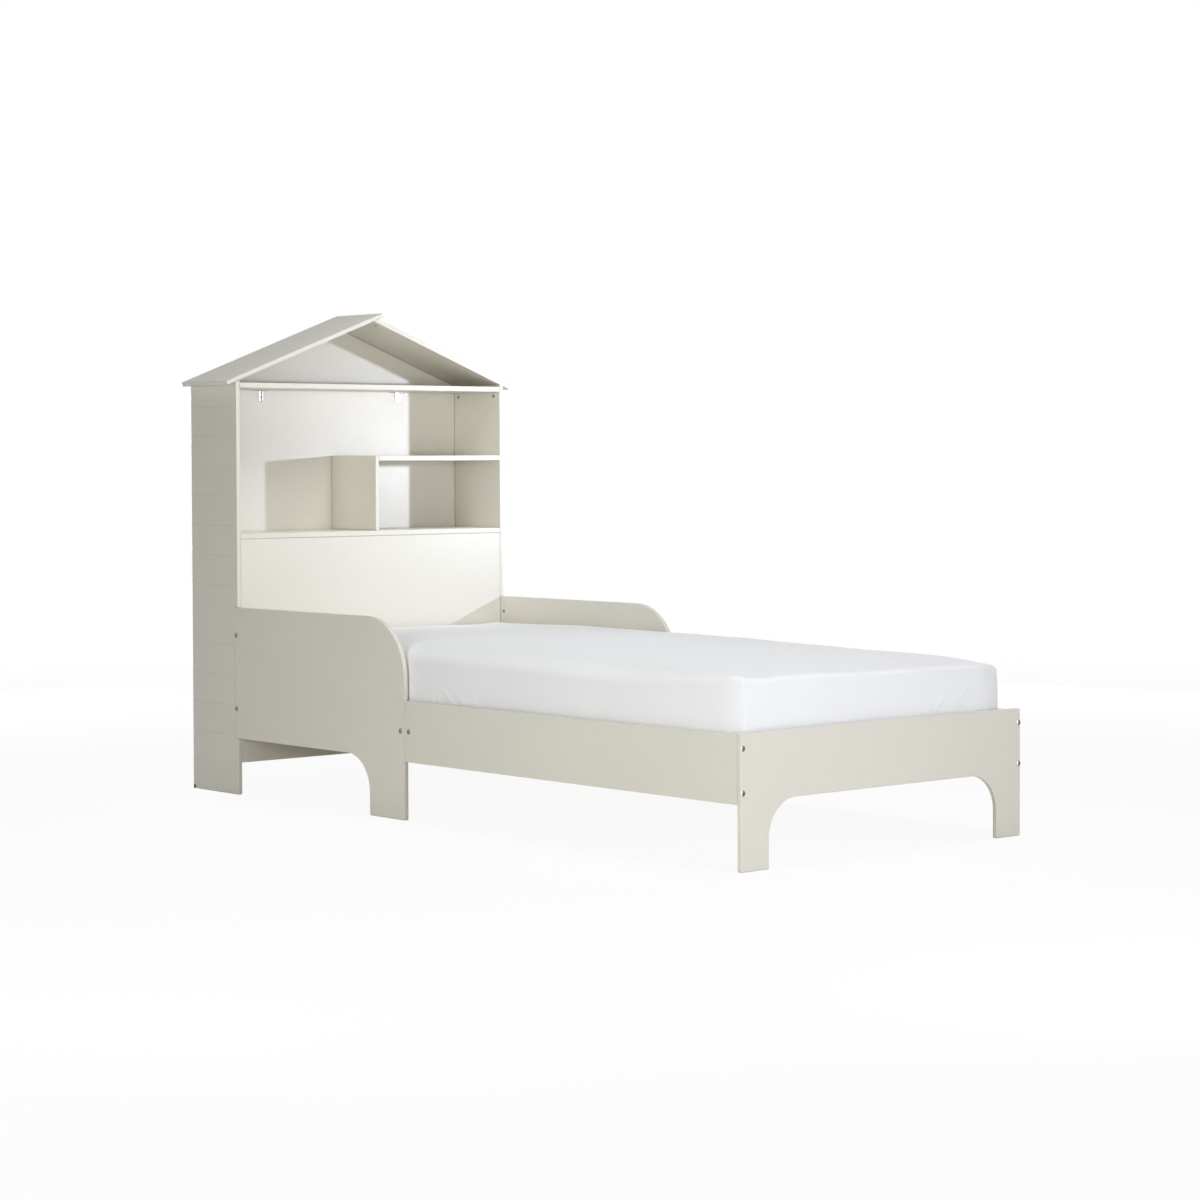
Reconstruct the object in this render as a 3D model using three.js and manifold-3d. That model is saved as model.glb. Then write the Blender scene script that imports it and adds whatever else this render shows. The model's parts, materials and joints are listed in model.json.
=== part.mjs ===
// A child's single bed with a house-shaped headboard, in millimetres, +Z up.
// X runs across the bed and +Y points to the wall behind the headboard, so the foot end is at -Y.
// The origin is the middle of the footprint, on the floor.
// Along the bed, places are given as u, the distance from the back of the house towards the foot.

import * as THREE from "three";
import { mergeVertices } from "three/addons/utils/BufferGeometryUtils.js";
import Module from "manifold-3d";

const wasm = await Module();
wasm.setup();

// Mattress and the room that the frame gives it
const mattressWidth = 900;
const mattressLength = 2000;
const mattressThickness = 167;
const mattressArch = 25;
const mattressArchPlace = 0.27;
const mattressCrown = 6;
const mattressCornerAcross = 35;
const mattressCornerAlong = 90;
const mattressTopRadius = 26;
const mattressBottomRadius = 14;
const mattressBulge = 3;
const mattressDrawIn = 4;
const mattressCornerSteps = 6;
const mattressEdgeSteps = 4;
const mattressEndSteps = 6;
const mattressSideSteps = 10;
const mattressSideRoom = 13;
const mattressEndRoom = 5;

// Boards
const sidePanelThickness = 12;
const backPanelThickness = 12;
const headboardThickness = 15;
const shelfThickness = 15;
const dividerThickness = 12;
const roofThickness = 12;
const guardThickness = 12;
const railThickness = 12;
const footboardThickness = 12;
const edgeRound = 1.5;
const jointGap = 0.3;
const cutPast = 2;

// House
const houseDepth = 230;
const eaveHeight = 1150;
const roofPitch = THREE.MathUtils.degToRad(20.7);
const roofOverhang = 31;
const ridgeLap = 31;
const topShelfDrop = 2.5;
const middleShelfTop = 943;
const lowerShelfTop = 727;
const headboardBottom = 89;
const dividerLeft = 3;
const plankPitch = 83.3;
const plankGrooveWidth = 2.6;
const plankGrooveDepth = 0.7;
const wallPadSize = 10;

// Guards
const guardTop = 522;
const guardBottom = 157;
const guardFront = 998;
const guardLegWidth = 153;
const guardCornerRadius = 160;
const guardArchRadius = 97;
const guardSeatDepth = 15;

// Rails and footboard
const railTop = 310;
const railBottom = 152;
const footboardTop = 315;
const footboardUnderside = 159;
const footboardLegWidth = 87.5;
const footboardArchRadius = 89;
const footboardCornerRadius = 6;
const footRadius = 4;

// Slat base
const battenWidth = 25;
const battenHeight = 30;
const battenEase = 2;
const slatCount = 12;
const slatWidth = 95;
const slatThickness = 15;
const slatEndRoom = 1;
const slatMargin = 18;

// Bolts with a hexagon socket
const boltDiameter = 6;
const boltHeadDiameter = 13;
const boltHeadHeight = 2.2;
const boltRimHeight = 0.9;
const boltCrownDiameter = 9.5;
const boltSocketWidth = 4;
const boltSocketDepth = 1.5;
const boltHoleRoom = 0.3;
const guardBoltLength = 42;
const seamBoltLength = 30;
const footBoltLength = 55;
const guardBoltRise = 83;
const guardBoltDrop = 78;
const seamBoltOffset = 17.5;
const footBoltRise = 27;
const footBoltDrop = 30;

// Cross dowels: slotted barrel nuts, let into a board's face near its edge
const dowelDiameter = 10;
const dowelLength = 10;
const dowelRecess = 0.4;
const dowelSlotWidth = 1.4;
const dowelSlotDepth = 1.2;
const dowelSetback = 30;
const guardDowelDrop = 45;

// Shelf brackets
const bracketOffset = 245;
const bracketWidth = 16;
const bracketLeg = 31;
const bracketThickness = 2;
const roundSegments = 16;

// Places that follow from the sizes above
const innerHalf = mattressWidth / 2 + mattressSideRoom;
const outerHalf = innerHalf + sidePanelThickness;
const boardHalf = innerHalf - jointGap;
const footboardInside = houseDepth + mattressLength + 2 * mattressEndRoom;
const footboardOutside = footboardInside + footboardThickness;
const rearY = (footboardOutside + jointGap + boltHeadHeight) / 2;
const roofSlope = Math.tan(roofPitch);
const roofFitGap = jointGap / Math.cos(roofPitch);
const ridgeUnderside = eaveHeight + outerHalf * roofSlope;
const topShelfTop = eaveHeight - topShelfDrop;
const guardBoltHeights = [guardBottom + guardBoltRise, guardTop - guardBoltDrop];
const guardDowelHeight = guardTop - guardDowelDrop;
const footBoltHeights = [railBottom + footBoltRise, railTop - footBoltDrop];
const battenMiddle = (railBottom + railTop) / 2;
const slatBottom = battenMiddle + battenHeight / 2 + jointGap;
const mattressBottom = slatBottom + slatThickness + jointGap;
const guardRear = houseDepth - guardSeatDepth + jointGap;
const boltHole = boltDiameter + 2 * boltHoleRoom;
const guardBoltU = houseDepth - headboardThickness / 2;
const headboardBoltDepth = guardBoltLength - guardThickness + boltHoleRoom;
const seamBoltDepth = seamBoltLength - guardThickness + boltHoleRoom;
const railBoltHalf = outerHalf - railThickness / 2;
const railBoltDepth = footBoltLength - footboardThickness + boltHoleRoom;

// Materials
const finish = (color, roughness, metalness = 0) =>
  new THREE.MeshStandardMaterial({ color, roughness, metalness });
const creamPaint = finish(0xe3e0d5, 0.5);
const whiteSheet = finish(0xf2f3f6, 0.95);
const palePine = finish(0xd9bd90, 0.7);
const brightZinc = finish(0xc4c4c2, 0.3, 1);
const dullZinc = finish(0x8f8b80, 0.45, 1);
const blackRubber = finish(0x1c1b1a, 0.8);

// Solids: closed meshes with shared corners, which can be joined and cut

function solidOf(geometry) {
  const bare = new THREE.BufferGeometry();
  bare.setAttribute("position", geometry.getAttribute("position").clone());
  if (geometry.index) bare.setIndex(geometry.index.clone());
  const merged = mergeVertices(bare, 1e-4);
  const corners = [];
  for (let i = 0; i < merged.index.count; i += 3) {
    const [a, b, c] = merged.index.array.slice(i, i + 3);
    if (a !== b && b !== c && c !== a) corners.push(a, b, c);
  }
  return new wasm.Manifold(
    new wasm.Mesh({
      numProp: 3,
      vertProperties: new Float32Array(merged.getAttribute("position").array),
      triVerts: new Uint32Array(corners),
    }),
  );
}

function geometryOf(body) {
  const mesh = body.getMesh();
  const geometry = new THREE.BufferGeometry();
  geometry.setAttribute("position", new THREE.BufferAttribute(new Float32Array(mesh.vertProperties), 3));
  geometry.setIndex(new THREE.BufferAttribute(new Uint32Array(mesh.triVerts), 1));
  geometry.computeVertexNormals();
  return geometry;
}

function cut(geometry, tools) {
  const body = tools.reduce((left, tool) => left.subtract(solidOf(tool)), solidOf(geometry));
  return geometryOf(body);
}

// Outlines and boards

// An outline from its corners: [x, y], or [x, y, radius] where a square corner is rounded or filled in
function outlineOf(corners) {
  const shape = new THREE.Shape();
  const at = (i) => new THREE.Vector2(...corners[(i + corners.length) % corners.length].slice(0, 2));
  corners.forEach(([x, y, radius = 0], i) => {
    const start = (p) => (i === 0 ? shape.moveTo(p.x, p.y) : shape.lineTo(p.x, p.y));
    const corner = at(i);
    if (radius === 0) {
      start(corner);
      return;
    }
    const toPrevious = at(i - 1).sub(corner).setLength(radius);
    const toNext = at(i + 1).sub(corner).setLength(radius);
    const centre = corner.clone().add(toPrevious).add(toNext);
    start(corner.clone().add(toPrevious));
    const from = toNext.clone().negate().angle();
    const to = toPrevious.clone().negate().angle();
    shape.absarc(centre.x, centre.y, radius, from, to, toPrevious.cross(toNext) > 0);
  });
  shape.closePath();
  return shape;
}

const rectangle = (x0, y0, x1, y1) => outlineOf([[x0, y0], [x1, y0], [x1, y1], [x0, y1]]);

// A board is an outline with a thickness, less its holes, and the edges round its two faces are eased
function board(outline, thickness, tools = [], ease = edgeRound) {
  const geometry = new THREE.ExtrudeGeometry(outline, {
    depth: thickness - 2 * ease,
    bevelThickness: ease,
    bevelSize: ease,
    bevelOffset: -ease,
    bevelSegments: 2,
    curveSegments: 12,
  });
  return cut(geometry.translate(0, 0, ease), tools);
}

// The other hand of a board: the same outline, with its two faces changed over
function otherHand(geometry, thickness) {
  const other = geometry.clone().scale(1, 1, -1).translate(0, 0, thickness);
  const corners = other.index.array;
  for (let i = 0; i < corners.length; i += 3) {
    [corners[i], corners[i + 1]] = [corners[i + 1], corners[i]];
  }
  other.computeVertexNormals();
  return other;
}

// A round or, with six segments, a hexagonal drill between two points
function drill(from, to, diameter, segments = roundSegments) {
  const along = to.clone().sub(from);
  const geometry = new THREE.CylinderGeometry(diameter / 2, diameter / 2, along.length(), segments);
  geometry.translate(0, along.length() / 2, 0);
  geometry.applyQuaternion(turnTo(along.normalize()));
  return geometry.translate(from.x, from.y, from.z);
}

// The turn that takes the x and y directions to these two
function turnOf(x, y) {
  const basis = new THREE.Matrix4().makeBasis(x, y, x.clone().cross(y));
  return new THREE.Quaternion().setFromRotationMatrix(basis);
}

const toRight = new THREE.Vector3(1, 0, 0);
const toWall = new THREE.Vector3(0, 1, 0);
const toFoot = new THREE.Vector3(0, -1, 0);
const upward = new THREE.Vector3(0, 0, 1);
const turnTo = (direction) => new THREE.Quaternion().setFromUnitVectors(toWall, direction);

// Drawn in u and z, with the thickness towards -X: the left boards have their inner face at 0
const alongBed = turnOf(toFoot, upward);
// Drawn in x and z, with the thickness towards the foot
const acrossBed = turnOf(toRight, upward);

const house = new THREE.Group();
const frame = new THREE.Group();
const slatBase = new THREE.Group();
const fittings = new THREE.Group();

function addPiece(parent, name, geometry, material, position, turn = new THREE.Quaternion()) {
  const mesh = new THREE.Mesh(geometry, material);
  mesh.name = name;
  mesh.position.copy(position);
  mesh.quaternion.copy(turn);
  parent.add(mesh);
}

// A left board, and its other hand on the right, with their inner faces the same way from the middle
function addSidePair(parent, name, geometry, thickness, material, inner = innerHalf) {
  addPiece(parent, `${name}_left`, geometry, material, new THREE.Vector3(-inner, rearY, 0), alongBed);
  const right = new THREE.Vector3(inner + thickness, rearY, 0);
  addPiece(parent, `${name}_right`, otherHand(geometry, thickness), material, right, alongBed);
}

// A board across the bed whose rear face is u from the back of the house
function addCrossBoard(parent, name, geometry, material, u) {
  addPiece(parent, name, geometry, material, new THREE.Vector3(0, rearY - u, 0), acrossBed);
}

// A pocket for a cross dowel, sunk into a board from a point on its face
function dowelPocket(face, into = upward) {
  const mouth = face.clone().sub(into);
  const bottom = face.clone().addScaledVector(into, dowelRecess + dowelLength + jointGap);
  return drill(mouth, bottom, dowelDiameter + 2 * jointGap);
}

// A bolt's hole through a board from face to face
const throughHole = (x, y, thickness) =>
  drill(new THREE.Vector3(x, y, -cutPast), new THREE.Vector3(x, y, thickness + cutPast), boltHole);

// House

const roofUnderside = (x) => ridgeUnderside - Math.abs(x) * roofSlope;

// A long prism along the bed, drawn across a side board: [distance outwards from the inner face, height]
function alongPrism(corners) {
  const depth = houseDepth + 2 * cutPast;
  const prism = new THREE.ExtrudeGeometry(outlineOf(corners), { depth, bevelEnabled: false });
  return prism.applyQuaternion(turnOf(upward, toWall)).translate(houseDepth + cutPast, 0, 0);
}

function sidePanel() {
  const pad = wallPadSize + jointGap;
  const seat = houseDepth - guardSeatDepth;
  const seatBottom = guardBottom - jointGap;
  const seatTop = guardTop + jointGap;
  const tallest = roofUnderside(innerHalf);
  const outline = outlineOf([
    [pad, 0],
    [houseDepth, 0, footRadius],
    [houseDepth, seatBottom],
    [seat, seatBottom],
    [seat, seatTop],
    [houseDepth, seatTop],
    [houseDepth, tallest],
    [0, tallest],
    [0, pad],
    [pad, pad],
  ]);
  const tools = [];
  const outside = sidePanelThickness;
  const half = plankGrooveWidth / 2;
  for (let z = plankPitch; z < eaveHeight - plankPitch / 2; z += plankPitch) {
    tools.push(
      alongPrism([
        [outside, z - half],
        [outside + cutPast, z - half],
        [outside + cutPast, z + half],
        [outside, z + half],
        [outside - plankGrooveDepth, z],
      ]),
    );
  }
  const roofAbove = (outward) => roofUnderside(innerHalf + outward) - roofFitGap;
  tools.push(
    alongPrism([
      [outside + cutPast, roofAbove(outside + cutPast)],
      [outside + cutPast, tallest + cutPast],
      [-cutPast, tallest + cutPast],
      [-cutPast, roofAbove(-cutPast)],
    ]),
  );
  for (const u of [dowelSetback, houseDepth - dowelSetback]) {
    tools.push(dowelPocket(new THREE.Vector3(u, eaveHeight - dowelSetback, 0)));
  }
  return board(outline, sidePanelThickness, tools);
}

function backPanel() {
  const eave = roofUnderside(boardHalf) - roofFitGap;
  return board(
    outlineOf([
      [-boardHalf, headboardBottom],
      [boardHalf, headboardBottom],
      [boardHalf, eave],
      [0, ridgeUnderside - roofFitGap],
      [-boardHalf, eave],
    ]),
    backPanelThickness,
  );
}

// The headboard's ends take the guard bolts
function headboardPanel() {
  const top = lowerShelfTop - shelfThickness - jointGap;
  const tools = [];
  for (const side of [-1, 1]) {
    for (const z of guardBoltHeights) {
      const middle = headboardThickness / 2;
      const mouth = new THREE.Vector3(side * (innerHalf + cutPast), z, middle);
      const end = new THREE.Vector3(side * (innerHalf - headboardBoltDepth), z, middle);
      tools.push(drill(mouth, end, boltHole));
    }
  }
  return board(rectangle(-boardHalf, headboardBottom, boardHalf, top), headboardThickness, tools);
}

// A shelf between two places across the house, from the back panel to the front edge
function addShelf(name, left, right, top) {
  const rear = backPanelThickness + jointGap;
  const shelf = board(rectangle(left, top - shelfThickness, right, top), houseDepth - rear);
  addCrossBoard(house, name, shelf, creamPaint, rear);
}

// The left roof board's underside and upper face are these lines, and its ends are cut square to them
const roofTip = outerHalf + roofOverhang;
const roofSquare = roofThickness * Math.sin(roofPitch);
const underLine = (x) => [x, ridgeUnderside + x * roofSlope];
const overLine = (x) => [x, ridgeUnderside + x * roofSlope + roofThickness / Math.cos(roofPitch)];

function leftRoof() {
  const corners = [
    overLine(-roofTip),
    underLine(-roofTip + roofSquare),
    underLine(ridgeLap + roofSquare),
    overLine(ridgeLap),
  ];
  return board(outlineOf(corners), houseDepth);
}

// The right roof board's upper end is cut to lie flat under the left one
function rightRoof() {
  const lower = jointGap / (2 * Math.sin(roofPitch));
  const upper = (roofThickness + jointGap) / (2 * Math.sin(roofPitch));
  const mirror = ([x, z]) => [-x, z];
  const corners = [
    overLine(-upper),
    underLine(-lower),
    underLine(-roofTip + roofSquare),
    overLine(-roofTip),
  ].map(mirror);
  const tools = roofDowels.map((face) => dowelPocket(face, roofInto));
  return board(outlineOf(corners), houseDepth, tools);
}

// Into the right roof board, square to its underside, in the frame of a board across the bed
const roofInto = new THREE.Vector3(Math.sin(roofPitch), Math.cos(roofPitch), 0);
const roofDowels = [dowelSetback, houseDepth - dowelSetback].map((u) => {
  const x = dowelSetback * Math.cos(roofPitch);
  return new THREE.Vector3(x, roofUnderside(x), u);
});

addSidePair(house, "side_panel", sidePanel(), sidePanelThickness, creamPaint);
addCrossBoard(house, "back_panel", backPanel(), creamPaint, 0);
addCrossBoard(house, "headboard_panel", headboardPanel(), creamPaint, houseDepth - headboardThickness);
addShelf("top_shelf", -boardHalf, boardHalf, topShelfTop);
addShelf("middle_shelf", dividerLeft + dividerThickness + jointGap, boardHalf, middleShelfTop);
addShelf("lower_shelf", -boardHalf, boardHalf, lowerShelfTop);
addCrossBoard(house, "roof_left", leftRoof(), creamPaint, 0);
addCrossBoard(house, "roof_right", rightRoof(), creamPaint, 0);

const dividerRear = backPanelThickness + jointGap;
const dividerOutline = rectangle(dividerRear, lowerShelfTop + jointGap, houseDepth, middleShelfTop);
addPiece(
  house,
  "divider",
  board(dividerOutline, dividerThickness),
  creamPaint,
  new THREE.Vector3(dividerLeft + dividerThickness, rearY, 0),
  alongBed,
);

// Rubber pads let into the side panels' rear corners
addSidePair(
  house,
  "wall_pad",
  board(rectangle(0, 0, wallPadSize, wallPadSize), sidePanelThickness),
  sidePanelThickness,
  blackRubber,
);

// Guards, rails and footboard

function guard() {
  const legRear = guardFront - guardLegWidth;
  const outline = outlineOf([
    [guardRear, guardBottom],
    [legRear, guardBottom, guardArchRadius],
    [legRear, 0, footRadius],
    [guardFront, 0, footRadius],
    [guardFront, guardTop, guardCornerRadius],
    [guardRear, guardTop],
  ]);
  const tools = guardBoltHeights.map((z) => throughHole(guardBoltU, z, guardThickness));
  tools.push(throughHole(guardFront - seamBoltOffset, battenMiddle, guardThickness));
  tools.push(dowelPocket(new THREE.Vector3(guardRear + dowelSetback, guardDowelHeight, 0)));
  return board(outline, guardThickness, tools);
}

// The rail's end takes the footboard bolts, which screw into cross dowels from its inner face
function rail() {
  const rear = guardFront + jointGap;
  const front = footboardInside - jointGap;
  const tools = [throughHole(guardFront + seamBoltOffset, battenMiddle, railThickness)];
  for (const z of footBoltHeights) {
    const middle = railThickness / 2;
    const mouth = new THREE.Vector3(front + cutPast, z, middle);
    tools.push(drill(mouth, new THREE.Vector3(footboardInside - railBoltDepth, z, middle), boltHole));
    tools.push(dowelPocket(new THREE.Vector3(footboardInside - dowelSetback, z, 0)));
  }
  return board(rectangle(rear, railBottom, front, railTop), railThickness, tools);
}

function footboard() {
  const legInside = outerHalf - footboardLegWidth;
  const outline = outlineOf([
    [-outerHalf, 0, footRadius],
    [-legInside, 0, footRadius],
    [-legInside, footboardUnderside, footboardArchRadius],
    [legInside, footboardUnderside, footboardArchRadius],
    [legInside, 0, footRadius],
    [outerHalf, 0, footRadius],
    [outerHalf, footboardTop, footboardCornerRadius],
    [-outerHalf, footboardTop, footboardCornerRadius],
  ]);
  const tools = [];
  for (const side of [-1, 1]) {
    for (const z of footBoltHeights) {
      const x = side * railBoltHalf;
      tools.push(throughHole(x, z, footboardThickness));
    }
  }
  return board(outline, footboardThickness, tools);
}

addSidePair(frame, "guard", guard(), guardThickness, creamPaint);
addSidePair(frame, "rail", rail(), railThickness, creamPaint);
addCrossBoard(frame, "footboard", footboard(), creamPaint, footboardInside);

// Slat base: a batten along each side ties guard and rail together and carries the slats

function batten() {
  const low = battenMiddle - battenHeight / 2;
  const rear = houseDepth + jointGap;
  const outline = rectangle(rear, low, footboardInside - jointGap, low + battenHeight);
  const tools = [-1, 1].map((way) => {
    const u = guardFront + way * seamBoltOffset;
    const mouth = new THREE.Vector3(u, battenMiddle, battenWidth + cutPast);
    return drill(mouth, new THREE.Vector3(u, battenMiddle, battenWidth + jointGap - seamBoltDepth), boltHole);
  });
  return board(outline, battenWidth, tools, battenEase);
}

addSidePair(slatBase, "batten", batten(), battenWidth, palePine, boardHalf - battenWidth);

const slatHalf = innerHalf - slatEndRoom;
const slatFirst = houseDepth + slatMargin;
const slatPitch = (footboardInside - slatMargin - slatWidth - slatFirst) / (slatCount - 1);
for (let i = 0; i < slatCount; i += 1) {
  const slat = board(rectangle(-slatHalf, -slatWidth, slatHalf, 0), slatThickness);
  const place = new THREE.Vector3(0, rearY - slatFirst - i * slatPitch, slatBottom);
  addPiece(slatBase, `slat_${String(i + 1).padStart(2, "0")}`, slat, palePine, place);
}

// Fittings

// A bolt along +Y: its head lies on a face at y = 0
function bolt(length) {
  const profile = [
    [0, -length],
    [boltDiameter / 2, -length],
    [boltDiameter / 2, 0],
    [boltHeadDiameter / 2, 0],
    [boltHeadDiameter / 2, boltRimHeight],
    [boltCrownDiameter / 2, boltHeadHeight],
    [0, boltHeadHeight],
  ].map(([r, y]) => new THREE.Vector2(r, y));
  const socket = drill(
    new THREE.Vector3(0, boltHeadHeight - boltSocketDepth, 0),
    new THREE.Vector3(0, boltHeadHeight + cutPast, 0),
    boltSocketWidth / Math.cos(Math.PI / 6),
    6,
  );
  return cut(new THREE.LatheGeometry(profile, roundSegments), [socket]);
}

function addBolt(name, length, face, outward) {
  const place = face.clone().addScaledVector(outward, jointGap);
  addPiece(fittings, name, bolt(length), brightZinc, place, turnTo(outward));
}

// A slotted cross dowel along +Y, with its slotted end at y = 0, bored along X for its bolt
function crossDowel(boreDepth) {
  const barrel = drill(new THREE.Vector3(0, -dowelLength, 0), new THREE.Vector3(), dowelDiameter);
  const slot = new THREE.BoxGeometry(dowelDiameter + cutPast, 2 * dowelSlotDepth, dowelSlotWidth);
  const boreEnd = new THREE.Vector3(dowelDiameter, -boreDepth, 0);
  const bore = drill(boreEnd.clone().setX(-dowelDiameter), boreEnd, boltHole);
  return cut(barrel, [slot, bore]);
}

function addDowel(name, face, outward, thickness, boltAlong) {
  const place = face.clone().addScaledVector(outward, -dowelRecess);
  const turn = turnOf(boltAlong, outward);
  addPiece(fittings, name, crossDowel(thickness / 2 - dowelRecess), dullZinc, place, turn);
}

// A bracket in the corner between the back panel, at y = 0, and the shelf above, at z = 0
function bracket() {
  const round = bracketWidth / 2;
  const half = (length) => {
    const end = length - round;
    const shape = new THREE.Shape().moveTo(-round, 0).lineTo(-round, -end);
    shape.absarc(0, -end, round, Math.PI, 2 * Math.PI, false);
    return shape.lineTo(round, 0).closePath();
  };
  const options = { depth: bracketThickness, bevelEnabled: false, curveSegments: 10 };
  const onWall = new THREE.ExtrudeGeometry(half(bracketLeg), options).applyQuaternion(acrossBed);
  const underShelf = new THREE.ExtrudeGeometry(half(bracketLeg), options).translate(0, 0, -bracketThickness);
  return geometryOf(solidOf(onWall).add(solidOf(underShelf)));
}

for (const [hand, side] of [["left", -1], ["right", 1]]) {
  const outward = new THREE.Vector3(side, 0, 0);
  const inward = outward.clone().negate();
  guardBoltHeights.forEach((z, i) => {
    const face = new THREE.Vector3(side * (innerHalf + guardThickness), rearY - guardBoltU, z);
    addBolt(`guard_bolt_${hand}_${i + 1}`, guardBoltLength, face, outward);
  });
  [-1, 1].forEach((way, i) => {
    const thickness = way < 0 ? guardThickness : railThickness;
    const u = guardFront + way * seamBoltOffset;
    const face = new THREE.Vector3(side * (innerHalf + thickness), rearY - u, battenMiddle);
    addBolt(`seam_bolt_${hand}_${i + 1}`, seamBoltLength, face, outward);
  });
  footBoltHeights.forEach((z, i) => {
    const face = new THREE.Vector3(side * railBoltHalf, rearY - footboardOutside, z);
    addBolt(`foot_bolt_${hand}_${i + 1}`, footBoltLength, face, toFoot);
    const dowelFace = new THREE.Vector3(side * innerHalf, rearY - footboardInside + dowelSetback, z);
    addDowel(`rail_dowel_${hand}_${i + 1}`, dowelFace, inward, railThickness, toWall);
  });
  [dowelSetback, houseDepth - dowelSetback].forEach((u, i) => {
    const face = new THREE.Vector3(side * innerHalf, rearY - u, eaveHeight - dowelSetback);
    addDowel(`eave_dowel_${hand}_${i + 1}`, face, inward, sidePanelThickness, upward);
  });
  const guardDowelU = guardRear + dowelSetback;
  addDowel(
    `guard_dowel_${hand}`,
    new THREE.Vector3(side * innerHalf, rearY - guardDowelU, guardDowelHeight),
    inward,
    guardThickness,
    toWall,
  );
  const corner = new THREE.Vector3(
    side * bracketOffset,
    rearY - backPanelThickness - jointGap,
    topShelfTop - shelfThickness - jointGap,
  );
  addPiece(fittings, `shelf_bracket_${hand}`, bracket(), brightZinc, corner);
}
roofDowels.forEach((face, i) => {
  const outward = new THREE.Vector3(-roofInto.x, 0, -roofInto.y);
  const toRidge = toFoot.clone().cross(outward);
  const place = new THREE.Vector3(face.x, rearY - face.z, face.y);
  addDowel(`ridge_dowel_${i + 1}`, place, outward, roofThickness, toRidge);
});

// Mattress in its fitted sheet: crowned, arched along its length, with soft edges and drawn-in sides

function mattressRise(y) {
  const share = 0.5 - y / mattressLength;
  const away = (share - mattressArchPlace) / (1 - mattressArchPlace);
  return 1 + (mattressArch / mattressThickness) * (1 - away ** 2);
}

function mattressRing(inset, height, shrink = 1) {
  const halfX = mattressWidth / 2 - inset;
  const halfY = mattressLength / 2 - inset;
  const across = mattressCornerAcross - inset;
  const along = mattressCornerAlong - inset;
  const points = [];
  const sidePoint = (from, to, steps) => {
    for (let i = 1; i < steps; i += 1) {
      const point = from.clone().lerp(to, i / steps);
      const drawn = mattressDrawIn * Math.sin((Math.PI * i) / steps) ** 0.5;
      const atEnd = Math.abs(from.x - to.x) > Math.abs(from.y - to.y);
      if (atEnd) point.y -= Math.sign(point.y) * drawn;
      else point.x -= Math.sign(point.x) * drawn;
      points.push(point);
    }
  };
  const centres = [[1, 1], [-1, 1], [-1, -1], [1, -1]];
  const corner = (k, step) => {
    const [sx, sy] = centres[k % 4];
    const angle = (k + step / mattressCornerSteps) * (Math.PI / 2);
    const centre = new THREE.Vector2(sx * (halfX - across), sy * (halfY - along));
    return centre.add(new THREE.Vector2(across * Math.cos(angle), along * Math.sin(angle)));
  };
  for (let k = 0; k < 4; k += 1) {
    for (let step = 0; step <= mattressCornerSteps; step += 1) points.push(corner(k, step));
    const steps = k % 2 === 0 ? mattressEndSteps : mattressSideSteps;
    sidePoint(corner(k, mattressCornerSteps), corner(k + 1, 0), steps);
  }
  const placed = points.map((p) => new THREE.Vector3(p.x * shrink, p.y * shrink, height));
  placed.forEach((p) => {
    p.z *= mattressRise(p.y);
  });
  return placed;
}

function mattress() {
  const rings = [];
  for (let i = 0; i <= mattressEdgeSteps; i += 1) {
    const angle = (i / mattressEdgeSteps) * (Math.PI / 2);
    const inset = mattressBulge + mattressBottomRadius * (1 - Math.sin(angle));
    rings.push(mattressRing(inset, mattressBottomRadius * (1 - Math.cos(angle))));
  }
  rings.push(mattressRing(0, mattressThickness / 2));
  for (let i = 0; i <= mattressEdgeSteps; i += 1) {
    const angle = (i / mattressEdgeSteps) * (Math.PI / 2);
    const inset = mattressBulge + mattressTopRadius * (1 - Math.cos(angle));
    rings.push(mattressRing(inset, mattressThickness - mattressTopRadius * (1 - Math.sin(angle))));
  }
  const topInset = mattressBulge + mattressTopRadius;
  for (const shrink of [0.85, 0.6, 0.3]) {
    rings.push(mattressRing(topInset, mattressThickness + mattressCrown * (1 - shrink ** 2), shrink));
  }
  const count = rings[0].length;
  const positions = rings.flat().flatMap((p) => [p.x, p.y, p.z]);
  const bottom = positions.length / 3;
  positions.push(0, 0, 0, 0, 0, (mattressThickness + mattressCrown) * mattressRise(0));
  const faces = [];
  for (let i = 0; i < count; i += 1) {
    const next = (i + 1) % count;
    faces.push(bottom, next, i);
    for (let r = 0; r + 1 < rings.length; r += 1) {
      const low = r * count;
      const high = low + count;
      faces.push(low + i, low + next, high + next, low + i, high + next, high + i);
    }
    const last = (rings.length - 1) * count;
    faces.push(last + i, last + next, bottom + 1);
  }
  const geometry = new THREE.BufferGeometry();
  geometry.setAttribute("position", new THREE.Float32BufferAttribute(positions, 3));
  geometry.setIndex(faces);
  geometry.computeVertexNormals();
  return geometry;
}

const mattressMiddle = rearY - houseDepth - mattressEndRoom - mattressLength / 2;
const bed = new THREE.Group();
bed.add(house, frame, slatBase, fittings);
addPiece(bed, "mattress", mattress(), whiteSheet, new THREE.Vector3(0, mattressMiddle, mattressBottom));

export default bed;
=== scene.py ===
"""A child's house bed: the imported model, dressed with painted board, pine, zinc and a fitted sheet.

Lengths are in metres, in the part's own frame: Z up, +Y to the wall behind the headboard, the foot at -Y.
"""

import json
import math

import bmesh
import bpy
import numpy as np
from mathutils import Matrix, Vector


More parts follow.
